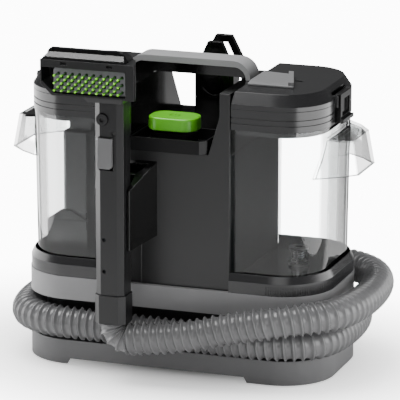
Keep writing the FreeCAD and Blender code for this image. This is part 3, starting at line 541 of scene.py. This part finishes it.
# %% Assign finishes
DRESS = {
    satin_charcoal: "front_panel rear_cover hose_port",
    tool_charcoal: "tool_head wand_front_shell wand_rear_shell wand_collar spray_knob",
    smooth_charcoal: "left_tank_ring right_tank_ring left_tank_lid right_tank_lid left_tank_collar "
                     "right_tank_collar separator_tower",
    casing_two_shot: "body_casing",
    gloss_black: "wand_cradle cord_hook_swivel cord_hook_lower rear_tower handle_grip "
                 "left_lid_buckle right_lid_buckle",
    satin_black: "hose_channel_wall tank_valve valve_poppet fan_impeller fan_housing water_pump "
                 "power_switch",
    tray_black: "button_tray",
    band_grey: "base_deck",
    plinth_grey: "base_plinth",
    handle_grey: "handle_cover",
    slider_grey: "left_lid_slider right_lid_slider",
    trigger_grey: "trigger",
    brush_grey: "brush_plate",
    button_green: "power_button",
    latch_green: "tool_hook",
    white_float: "float_ball",
    tank_clear: "left_tank_shell right_tank_shell",
    lip_clear: "nozzle_lip",
    rubber_black: "rubber_feet mains_gland left_lid_gasket right_lid_gasket",
    filter_foam: "exhaust_filter",
    steel: "motor_housing motor_bearings motor_shaft trigger_pin",
    spring_steel: "button_spring valve_spring",
    screw_steel: "case_screws",
    copper: "motor_rotor",
    hose_pvc: "hose hose_elbow",
    bristle_nylon: "bristles",
}
dressed = set()
for finish, names in DRESS.items():
    for name in names.split():
        part = nodes[name]
        if not part.material_slots:
            part.data.materials.append(finish)
        for slot in part.material_slots:
            slot.material = finish
        dressed.add(name)
for piece, finish in ((hose_skin, hose_pvc), (elbow_skin, hose_pvc), (bristle_tufts, bristle_nylon),
                      (power_sign, sign_green), (well_shade_discs, gloss_black)):
    piece.data.materials.append(finish)
assert dressed == set(nodes), set(nodes) ^ dressed
print("parts dressed:", len(dressed))

# %% [markdown]
# ## Studio
# The machine stands on a pale floor that fades into white. A big softbox overhead gives the tops
# their sheen and the soft shadow. A wide panel stands close on each side: the rounded ends mirror
# it as an upright band with a crisp edge. The front is left dim, so the flat panel stays dark. The
# surroundings are white to look at and dim to reflect, which is what black flags do in a studio.

# %% Floor
BACKDROP_GLOW, REFLECTED_GLOW = 12.0, 0.12         # the surroundings to the camera, and to a reflection
FADE_RADIUS, FADE_POWER, FADE_OVAL = 0.38, 1.9, (0.72, 1.0, 1.0)
bpy.ops.mesh.primitive_circle_add(vertices=96, radius=6, fill_type="NGON", location=(0, 0, -0.0002))
floor = bpy.context.object
floor.name = "studio_floor"
floor_paint, tree = new_material("floor_matt_white")
place = add(tree, "ShaderNodeTexCoord").outputs["Object"]
oval = add(tree, "ShaderNodeVectorMath", {0: place, 1: FADE_OVAL}, operation="MULTIPLY")
far = add(tree, "ShaderNodeVectorMath", {0: oval.outputs["Vector"]}, operation="LENGTH")
fade = add(tree, "ShaderNodeMapRange", {"Value": far.outputs["Value"], "From Min": 0.0,
           "From Max": FADE_RADIUS}, interpolation_type="SMOOTHSTEP")
soft = add(tree, "ShaderNodeMath", {0: fade.outputs["Result"], 1: FADE_POWER}, operation="POWER")
seen = add(tree, "ShaderNodeLightPath").outputs["Is Camera Ray"]
share = add(tree, "ShaderNodeMath", {0: soft.outputs["Value"], 1: seen}, operation="MULTIPLY")
paint = add(tree, "ShaderNodeBsdfDiffuse", {"Color": linear("#f2f2f2")})
glow = add(tree, "ShaderNodeEmission", {"Color": (1, 1, 1, 1), "Strength": BACKDROP_GLOW})
mix = add(tree, "ShaderNodeMixShader", {0: share.outputs["Value"], 1: paint.outputs["BSDF"],
          2: glow.outputs["Emission"]})
add(tree, "ShaderNodeOutputMaterial", {"Surface": mix.outputs["Shader"]})
floor.data.materials.append(floor_paint)

# %% Lights
PANEL_DISTANCE, PANEL_MIDDLE, PANEL_HEIGHT = 0.50, 0.155, 0.24


def softbox(name, at, aim, width, height, watts):
    light = bpy.data.lights.new(name, "AREA")
    light.shape = "RECTANGLE"
    light.size, light.size_y, light.energy = width, height, watts
    lamp = bpy.data.objects.new(name, light)
    lamp.location = at
    lamp.rotation_euler = (Vector(at) - Vector(aim)).to_track_quat("Z", "Y").to_euler()
    lamp.visible_camera = False
    bpy.context.scene.collection.objects.link(lamp)
    return lamp


def beside(azimuth):
    """A place beside the machine, azimuth degrees round from the front."""
    turn = math.radians(azimuth)
    return (PANEL_DISTANCE * math.sin(turn), -PANEL_DISTANCE * math.cos(turn), PANEL_MIDDLE)


softbox("overhead", (-0.3, -0.1, 1.5), (0, 0, 0.2), 1.2, 1.1, 40)
softbox("front_fill", (0.4, -2.4, 1.3), (0, 0, 0.15), 1.6, 1.0, 17)
softbox("right_panel", beside(93), (0, 0, PANEL_MIDDLE), 0.97, PANEL_HEIGHT, 3.4)
softbox("left_panel", beside(-89), (0, 0, PANEL_MIDDLE), 0.87, PANEL_HEIGHT, 2.8)
world = bpy.data.worlds.new("studio")
bpy.context.scene.world = world
world.use_nodes = True
tree = world.node_tree
tree.nodes.clear()
seen = add(tree, "ShaderNodeLightPath").outputs["Is Camera Ray"]
bright = add(tree, "ShaderNodeMapRange", {"Value": seen, "To Min": REFLECTED_GLOW, "To Max": BACKDROP_GLOW})
sky = add(tree, "ShaderNodeBackground", {"Color": (1, 1, 1, 1), "Strength": bright.outputs["Result"]})
add(tree, "ShaderNodeOutputWorld", {"Surface": sky.outputs["Background"]})
